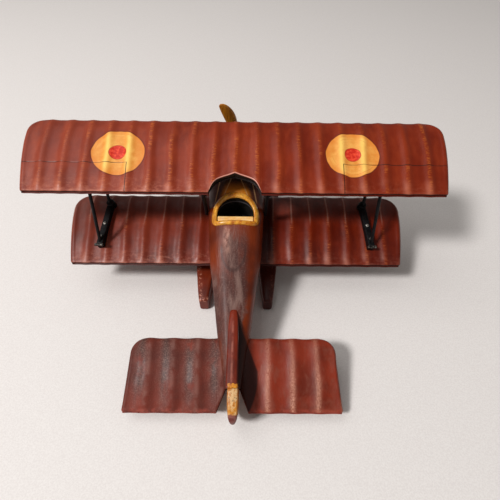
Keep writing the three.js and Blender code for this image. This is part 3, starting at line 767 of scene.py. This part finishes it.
def build_fuselage():
    loops = []
    ring = 72
    for y in np.linspace(-258.5, 95, 150):
        half, top, bottom, power = fuselage_section(y)
        angle = 2 * pi * (np.arange(ring) + 0.5) / ring
        c, s = np.cos(angle), np.sin(angle)
        middle = (top + bottom) / 2
        x = half * signed_power(c, 2 / power)
        z = middle + (top - bottom) / 2 * signed_power(s, 2 / power)
        swell = 1 + 0.006 * wobble(x * 2, y, z * 2)
        x, z = x * swell, middle + (z - middle) * swell
        # The deck ahead of the cockpit rises in a faceted hump.
        hump = 4.5 * smooth_steps(y, 14, 30) * (1 - smooth_steps(y, 62, 90))
        z = z + np.where(s > 0, hump * (1 - smooth_steps(np.abs(x), 6, 30)), 0)
        loops.append(np.stack([x, np.full(ring, y), z], 1))
    obj = add_object("fuselage_body", *skin(loops), body_material)
    obj.data.materials.append(cockpit_black)
    cutter_loops = [[(x, y, z) for x, y in cockpit_outline(0)] for z in (COCKPIT.floor, 0)]
    cutter = add_object("cockpit_cutter", *skin(cutter_loops), cockpit_black)
    cut = obj.modifiers.new("cockpit", "BOOLEAN")
    cut.operation = "DIFFERENCE"
    cut.solver = "EXACT"
    cut.object = cutter
    bpy.context.view_layer.update()
    mesh = bpy.data.meshes.new_from_object(obj.evaluated_get(bpy.context.evaluated_depsgraph_get()))
    obj.modifiers.clear()
    obj.data = mesh
    bpy.data.objects.remove(cutter)
    mesh.materials.clear()
    mesh.materials.append(body_material)
    mesh.materials.append(cockpit_black)
    level = AIRFRAME.inverted()
    grown = cockpit_outline(0.5)
    for polygon in mesh.polygons:
        centre = level @ polygon.center / MM
        normal = level.to_3x3() @ polygon.normal
        in_hole = point_in(grown, centre.x, centre.y) and COCKPIT.floor - 1 < centre.z
        is_wall = in_hole and (abs(normal.z) < 0.5 or centre.z < COCKPIT.floor + 1)
        polygon.material_index = 1 if is_wall else 0
        polygon.use_smooth = not is_wall
    return obj


def point_in(outline, x, y):
    inside = False
    for (x0, y0), (x1, y1) in zip(outline, outline[1:] + outline[:1]):
        if (y0 > y) != (y1 > y) and x < (x1 - x0) * (y - y0) / (y1 - y0) + x0:
            inside = not inside
    return inside


fuselage = build_fuselage()
finish_piece(fuselage, "fuselage_paint", "fuselage")


def build_rim():
    """Rounded coaming round the cockpit, thinner across the back."""
    path = spline(cockpit_outline(COCKPIT.rim / 2, 28), 3, closed=True)
    loops = []
    for here, before, after in zip(path, np.roll(path, 1, 0), np.roll(path, -1, 0)):
        along = (after - before) / np.linalg.norm(after - before)
        out = np.array([along[1], -along[0]])
        back = 1 - smooth_steps(here[1], -25, -14)
        width = (COCKPIT.rim / 2 + 0.4) * (1 - 0.22 * back)
        top = 4.0 + 0.35 * wobble(here[0] * 2, here[1] * 2)
        loop = []
        for u, v in circle(14):
            px, py = here + out * (signed_power(u, 0.8) * width)
            loop.append((px, py, deck_height(px, py) + (top * v if v > 0 else 3.0 * v)))
        loops.append(loop)
    return add_object("cockpit_coaming", *skin(loops, ring=True), amber)


finish_piece(build_rim(), "amber_paint", "cockpit_rim")


def rounded_block(name, x, y, z, material, radius, steps=3):
    """A block with rounded edges between (low, high) pairs."""
    loops = []
    for end, inwards in ((0, radius), (1, -radius)):
        for k in range(end * steps, (end + 1) * steps + 1):
            angle = k * pi / (2 * steps)
            r = radius * sin(angle)
            level = z[end] + inwards - radius * cos(angle)
            loop = []
            for i, j, start in ((1, 1, 0), (0, 1, 90), (0, 0, 180), (1, 0, 270)):
                px, py = x[i] + radius * (1 - 2 * i), y[j] + radius * (1 - 2 * j)
                turns = [radians(start + a) for a in range(0, 91, 18)]
                loop += [(px + r * cos(phi), py + r * sin(phi), level) for phi in turns]
            loops.append(loop)
    return add_object(name, *skin(loops), material)


seat = rounded_block("seat_block", (-27.6, 27.6), (-19.7, -10.3), (-99.5, -50), seat_wood, radius=2.0)
finish_piece(seat, "cream_wood", "cockpit_seat")


def lathe_y(name, rows, centre, material, segments):
    """A turned piece about an axis along Y, closed on the axis."""
    return add_object(name, *skin(turned(rows, centre, segments), caps=False), material, merge=0.01)


NOSE = [(44.6, 0), (45.6, 2), (46.4, 8), (46.2, 22), (43, 36), (37, 45), (26, 51), (9, 51.6)]
nose_rows = [(0, 0), *spline(NOSE, 6), (8.6, 50.2), (3.4, 50.0), (2.9, 30), (0, 30)]
nose = lathe_y("nose_cowl_turned", nose_rows, (0, 95.2, HUB_Z), body_material, 64)
finish_piece(nose, "fuselage_paint", "nose_cowl")


# ==== fin and rudder ====

def slab_loft(name, rows, material, radius, centre=0.0):
    """Rounded slab along Y: rows of (y, half thickness, top, bottom)."""
    loops = []
    for y, half, top, bottom in rows:
        r = min(radius, half * 0.7, (top - bottom) * 0.45)
        right = [(half * 0.96, bottom), (half, bottom + 1), (half, (top + bottom) / 2), (half, top - r)]
        right += [(half - r + r * cos(a), top - r + r * sin(a)) for a in np.linspace(0.35, pi / 2, 5)]
        right += [(half * 0.3, top + 0.35)]
        left = [(-x, z) for x, z in reversed(right)]
        loops.append([(centre + x, y, z) for x, z in right + left])
    return add_object(name, *skin(loops), material)


FIN_HALF = [(151.0, 2.6), (152.2, 4.2), (156.0, 5.3), (165.0, 6.4), (175.0, 7.1), (190.0, 7.6), (258.2, 7.9)]
fin_rows = []
for y in [-151.0, -151.5, -152.2, -153.5] + list(np.linspace(-156, -258.2, 46)):
    t = (-151 - y) / 107.2
    half = np.interp(-y, *zip(*FIN_HALF))
    top = np.interp(t, [0, 0.02, 0.06, 0.48, 1], [-64.5, -62.2, -60.3, -47.5, -36]) + 0.3 * sin(t * 9)
    fin_rows.append((y, half, top, min(-66.0, top - 4)))
fin = slab_loft("fin_slab", fin_rows, fin_paint_material, radius=3.0)
finish_piece(fin, "tail_paint", "fin")

rudder_rows = []
for y in np.concatenate([np.linspace(-258.4, -292, 26), np.linspace(-293, -302, 12)]):
    t = max(0.0, (-258.9 - y) / 43.1)
    half = np.interp(t, [0, 0.03, 0.3, 0.55, 0.78, 0.9, 0.97, 1], [6.8, 7.1, 7.3, 6.9, 5.9, 4.6, 3.0, 1.4])
    top = np.interp(t, [0, 0.04, 0.5, 0.78, 0.93, 1], [-36, -35.2, -36.2, -41.5, -50, -60])
    bottom = np.interp(t, [0, 0.55, 0.8, 0.95, 1], [-95, -95, -90, -80, -72])
    rudder_rows.append((y, half, top, bottom))
rudder = slab_loft("rudder_slab", rudder_rows, rudder_paint_material, radius=2.6, centre=RUDDER_X)
finish_piece(rudder, "cream_paint", "rudder")


# ==== propeller ====

BLADE = spline([
    (4, 11, 0, 60, 9), (16, 12, 0, 48, 8), (32, 16, 1.6, 36, 6), (50, 18.5, 2.4, 28, 5),
    (66, 18, 1.6, 22, 4.2), (78, 14.5, -0.4, 18, 3.4), (85, 9.5, -2.6, 16, 2.6), (87.6, 3.5, -4.0, 15, 1.4),
], 6)


def blade_points(turn):
    loops = []
    for radius, chord, sweep, twist_deg, thick in BLADE:
        twist = radians(twist_deg)
        loop = []
        for c, s in circle(24):
            u = 0.5 * c * chord
            v = 0.5 * s * thick * (1 + 0.35 * c)
            across = u * cos(twist) - v * sin(twist) + sweep
            fore = u * sin(twist) + v * cos(twist)
            loop.append((across * cos(turn) + radius * sin(turn), HUB_Y + fore,
                         HUB_Z - across * sin(turn) + radius * cos(turn)))
        loops.append(loop)
    return skin(loops)


def build_propeller():
    tilt = -radians(14)
    hub_rows = [(2.85, -6), (8.3, -6), (9.2, -5.2), (9.5, -4), (9.5, 4), (9.2, 5.2), (8.3, 6), (2.85, 6)]
    hub = skin(turned(hub_rows, (0, HUB_Y, HUB_Z), 48), ring=True)
    verts, faces = [], []
    for part_verts, part_faces in (hub, blade_points(tilt), blade_points(tilt + pi)):
        faces += [tuple(i + len(verts) for i in face) for face in part_faces]
        verts += part_verts
    return add_object("propeller_carved", verts, faces, prop_wood, merge=0.005)


finish_piece(build_propeller(), "propeller_wood", "propeller", body="propeller")

washer_rows = [(2.8, 0), (7.6, 0), (8, 0.4), (8, 1.6), (7.6, 2), (2.8, 2), (2.8, 0)]
washer = lathe_y("washer_plate", washer_rows, (0, 146.6, HUB_Z), steel, 48)
finish_piece(washer, "steel", "propeller_washer")
shaft_rows = [(0, -38), (2.4, -38), (2.5, -37), (2.5, 0), (5.0, 0), (5.5, 0.5), (5.4, 1.6), (4.4, 3),
              (2.8, 3.7), (0, 4)]
shaft = lathe_y("shaft_screw", shaft_rows, (0, 161.2, HUB_Z), steel, 32)
finish_piece(shaft, "steel", "propeller_shaft")


# ==== struts ====

def tube(name, start, end, radius, material, *nodes, flare=0.12):
    """A round rod with slightly swollen, hand-painted ends."""
    a, b = Vector(start), Vector(end)
    axis = (b - a).normalized()
    reference = Vector((0, 1, 0)) if abs(axis.x) > 0.9 else Vector((1, 0, 0))
    side = axis.cross(reference).normalized()
    other = axis.cross(side)
    length = (b - a).length
    loops = []
    for t in [0, 0.02, 0.05, 0.1, 0.2, 0.35, 0.5, 0.65, 0.8, 0.9, 0.95, 0.98, 1]:
        swell = 1 + flare * (exp(-t * length / 4) + exp(-(1 - t) * length / 4))
        swell += 0.02 * sin(17 * t)
        centre = a + axis * (t * length)
        loops.append([centre + (side * c + other * s) * radius * swell for c, s in circle(20)])
    finish_piece(add_object(name, *skin(loops), material), "strut_black", *nodes)


def wing_top(x, y, spec):
    """Height of a wing's upper surface."""
    t = (y - spec.tail) / spec.chord
    return spec.base + np.interp(t, *SECTION[:TOP_COUNT].T) + rib_height(x, spec, WING_RISE)


FOOT_TOP = -94.5
FOOT = Measures(back=-42.0, front=33.5, x_back=220.3, x_front=211.5)


def foot_x(y):
    """Distance of the bar's middle line from the centre of the plane."""
    return FOOT.x_back + (FOOT.x_front - FOOT.x_back) * (y - FOOT.back) / (FOOT.front - FOOT.back)


def foot_bar(side, label):
    """Black bar bedded on the lower wing, with a thick rounded end in front and a pinned end behind."""
    loops = []
    for t in np.concatenate([[0, 0.008, 0.02], np.linspace(0.04, 0.96, 24), [0.98, 1.0]]):
        y = FOOT.back + (FOOT.front - FOOT.back) * t
        x = side * foot_x(y)
        half = 5.0 * (1 - 0.10 * exp(-t * 60))
        top = FOOT_TOP + 0.15 * sin(11 * t) - 1.2 * exp(-t * 70)
        bottom = wing_top(x, y, LOWER) - 1.6
        r = 1.1
        profile = [(-half, bottom), (-half, top - r), (-half + 0.3 * r, top - 0.3 * r), (-half + r, top),
                   (half - r, top), (half - 0.3 * r, top - 0.3 * r), (half, top - r), (half, bottom)]
        loops.append([(x + u, y, v) for u, v in profile])
    bar = add_object(f"foot_bar_{label}", *skin(loops), black)
    bar.data.set_sharp_from_angle(angle=radians(40))
    finish_piece(bar, "strut_black", f"strut_foot_{label}")
    knuckle_rows = [(6.9, -14), (6.8, -4), (6.5, 1.5), (5.9, 2.6), (4.6, 3.2), (2.6, 3.4), (0, 3.45)]
    centre = (side * FOOT.x_front, FOOT.front, FOOT_TOP)
    verts, faces = skin(turned(knuckle_rows, centre, 28, upright=True), caps=False)
    faces.append(tuple(reversed(range(28))))
    finish_piece(add_object(f"foot_knuckle_{label}", verts, faces, black, merge=0.003), "strut_black")
    left, right = ((side * FOOT.x_back + reach, FOOT.back + 0.6, FOOT_TOP - 0.9) for reach in (-6.6, 6.6))
    tube(f"foot_pin_{label}", left, right, 2.3, steel_black, flare=0.0)


def slotted_screw(name, x, y, turn, node, material):
    """Dome head with a driver slot, and its shank in the bar."""
    rows = [(0, -6), (0.9, -5.4), (1.2, -4.8), (1.2, 0.2), (2.6, 0.2), (2.7, 0.5), (2.5, 1.1), (1.9, 1.6),
            (1.2, 1.85), (0.6, 1.95), (0, 1.98)]
    loops = []
    for r, level in rows:
        loop = []
        for c, s in circle(32):
            px, py = max(r, 0.001) * c, max(r, 0.001) * s
            in_slot = level > 1.0 and abs(px * sin(turn) - py * cos(turn)) < 0.42
            loop.append((x + px, y + py, FOOT_TOP + level - (0.9 if in_slot else 0.0)))
        loops.append(loop)
    finish_piece(add_object(name, *skin(loops, caps=False), material, merge=0.003), "steel", node)


def strap(name, x, y, node):
    """A flat strip standing on its edge, rounded along its length and at its foot."""
    low, high, half_thick, half_width = -80, -2.6, 2.5, 4
    loops = []
    for t in (0, 0.015, 0.05, 0.2, 0.4, 0.6, 0.8, 0.95, 1):
        grow = {0: 0.78, 0.015: 0.93}.get(t, 1)
        loops.append([(x + signed_power(c, 0.5) * half_thick * grow,
                       y + half_width + signed_power(s, 0.5) * half_width * grow,
                       low + (high - low) * t) for c, s in circle(24)])
    finish_piece(add_object(name, *skin(loops), black), "strut_black", node)


FOOT_SCREWS = {"rear": (-27.0, steel_black), "front": (-4.0, steel)}
RODS = {
    "rear": ((219.6, -35.8, -97), (214.5, 19.5, -8.8)),
    "front": ((212.2, 30.8, -97), (215.0, 86.0, -8.8)),
}
CABANES = {"rear": (47.2, 4.0), "front": (49.0, 74.0)}
HEAD_X = 214.5

for label, side in (("left", -1), ("right", 1)):
    foot_bar(side, label)
    for end, (y, metal) in FOOT_SCREWS.items():
        node = f"foot_screw_{end}_{label}"
        slotted_screw(f"foot_screw_head_{end}_{label}", side * foot_x(y), y, 0.7 + y * side, node, metal)
    across = (side * HEAD_X - 5, side * HEAD_X + 5)
    head = rounded_block(f"head_bar_{label}", across, (9, 97), (-9.8, -2.2), black, radius=1.4)
    finish_piece(head, "strut_black", f"strut_head_{label}")
    for end, rod in RODS.items():
        low, high = ((side * x, y, z) for x, y, z in rod)
        tube(f"rod_{end}_{label}", low, high, 2.5, black, f"strut_{end}_{label}")
    for end, (x, y) in CABANES.items():
        strap(f"cabane_strip_{end}_{label}", side * x, y, f"cabane_{end}_{label}")


# ==== floats, level on the table ====

FLOATS = Matrix.Translation((0, FLOAT_SHIFT_Y * MM, 0))
HULL = spline([
    (-66, 7.5, 28, 0), (-40, 11, 33, 0), (0, 15, 38.5, 0), (60, 20, 43.5, 0), (120, 23, 46, 0),
    (160, 23, 46.5, 0), (190, 21, 46.5, 5), (212, 16.5, 45.5, 14), (227, 10, 43.5, 24), (235, 4.5, 41, 31),
], 8)


def hull_section(half, deck, bottom, grow):
    """Rounded box section, narrower along the keel, with a softened deck edge."""
    height = deck - bottom
    keel = min(6.0, height * 0.3, half * 0.6)
    edge = min(2.6, half * 0.3)
    right = [(0, bottom), (half * 0.5, bottom), (half - keel, bottom)]
    right += [(half - keel + keel * sin(a), bottom + keel * (1 - cos(a))) for a in np.linspace(0.3, 1.4, 5)]
    right += [(half, bottom + height * 0.45), (half + 0.2, bottom + height * 0.7), (half, deck - edge)]
    right += [(half - edge + edge * cos(a), deck - edge + edge * sin(a)) for a in np.linspace(0.3, 1.4, 4)]
    right += [(half * 0.55, deck + 0.4), (0, deck + 0.6)]
    left = [(-x, z) for x, z in reversed(right[1:-1])]
    middle = (deck + bottom) / 2
    return [(x * grow, middle + (z - middle) * grow) for x, z in right + left]


def build_float(side, label):
    stern, bow = HULL[0], HULL[-1]
    stations = [(stern, 0.0, 0.72), (stern, 0.0, 0.86), (stern, 0.5, 0.94), (stern, 1.4, 0.985)]
    stations += [(row, 0.0, 1.0) for row in HULL[1:]] + [(bow, -0.4, 0.8), (bow, 0.0, 0.45)]
    loops = []
    for (y, half, deck, bottom), shift, grow in stations:
        centre = 53 + 0.022 * (y + 66)
        if grow == 1.0:
            centre += 0.25 * wobble(y * 1.5, centre)
        section = hull_section(half, deck, max(bottom, 0), grow)
        loops.append([(side * (centre + x), y + shift, max(z, 0)) for x, z in section])
    hull = add_object(f"float_hull_{label}", *skin(loops), float_paint, matrix=FLOATS)
    hull.data.set_sharp_from_angle(angle=radians(50))
    finish_piece(hull, "float_paint", f"float_{label}")


def underside(y):
    """Height of the lower wing's flat underside at a point of the level frame."""
    return 201 + LOWER.base / cos(PITCH) + y * tan(PITCH)


def float_strut(side, label, end, y, x):
    """Streamlined strut from the deck to the wing's underside."""
    deck = float(np.interp(y, HULL[:, 0], HULL[:, 2]))
    loops = []
    for t in [0, 0.02, 0.06, 0.15, 0.35, 0.6, 0.85, 0.95, 1]:
        flare = 1 + 0.12 * exp(-t * 18) + 0.1 * exp(-(1 - t) * 18)
        loop = []
        for c, s in circle(28):
            u, v = s * 2.76 * flare * (1 + 0.25 * c), c * 7.5 * flare
            low, high = deck - 0.5, underside(y + v) + 0.4
            loop.append((side * x + u, y + v, low + (high - low) * t))
        loops.append(loop)
    obj = add_object(f"float_strut_shape_{end}_{label}", *skin(loops), black, matrix=FLOATS)
    finish_piece(obj, "strut_black", f"float_strut_{end}_{label}")


for label, side in (("left", -1), ("right", 1)):
    build_float(side, label)
    float_strut(side, label, "rear", 18, 54.6)
    float_strut(side, label, "front", 92, 56.4)


# ==== floor, light and camera ====

floor = add_object("floor", [(-9000, -9000, 0), (9000, -9000, 0), (9000, 9000, 0), (-9000, 9000, 0)],
                   [(0, 1, 2, 3)], pale_floor, matrix=Matrix.Identity(4))


def area_light(name, position, target, size, power, color):
    data = bpy.data.lights.new(name, "AREA")
    data.shape = "RECTANGLE"
    data.size, data.size_y = size
    data.energy = power
    data.color = color
    light = bpy.data.objects.new(name, data)
    light.location = position
    light.rotation_euler = (Vector(target) - Vector(position)).to_track_quat("-Z", "Y").to_euler()
    bpy.context.scene.collection.objects.link(light)


area_light("window", (-2.5, -1.75, 3.6), (0, 0, 0.1), (0.75, 0.75), 195, (1.0, 0.98, 0.97))
area_light("ceiling", (-1.3, 0.35, 3.3), (0, 0, 0), (2.4, 2.4), 30, (1.0, 0.99, 0.98))

world = bpy.data.worlds.new("studio")
bpy.context.scene.world = world
world.use_nodes = True
background = world.node_tree.nodes["Background"]
fill(background, {"Color": (234, 230, 226), "Strength": 0.3})
bpy.context.scene.view_settings.view_transform = "Standard"

camera_data = bpy.data.cameras.new("camera")
camera_data.lens = 27.294
camera_data.sensor_width = 36
camera = bpy.data.objects.new("camera", camera_data)
down, turn, roll = radians(49.196), radians(-0.588), radians(0.944)
aim = Matrix.Rotation(turn, 4, "Z") @ Matrix.Rotation(pi / 2 - down, 4, "X") @ Matrix.Rotation(roll, 4, "Z")
# The eye stands over the tail, in the airframe's frame.
eye = AIRFRAME @ (Vector((18.7, -264.96, 474.05)) * MM)
camera.matrix_world = Matrix.Translation(eye) @ aim
bpy.context.scene.collection.objects.link(camera)
bpy.context.scene.camera = camera
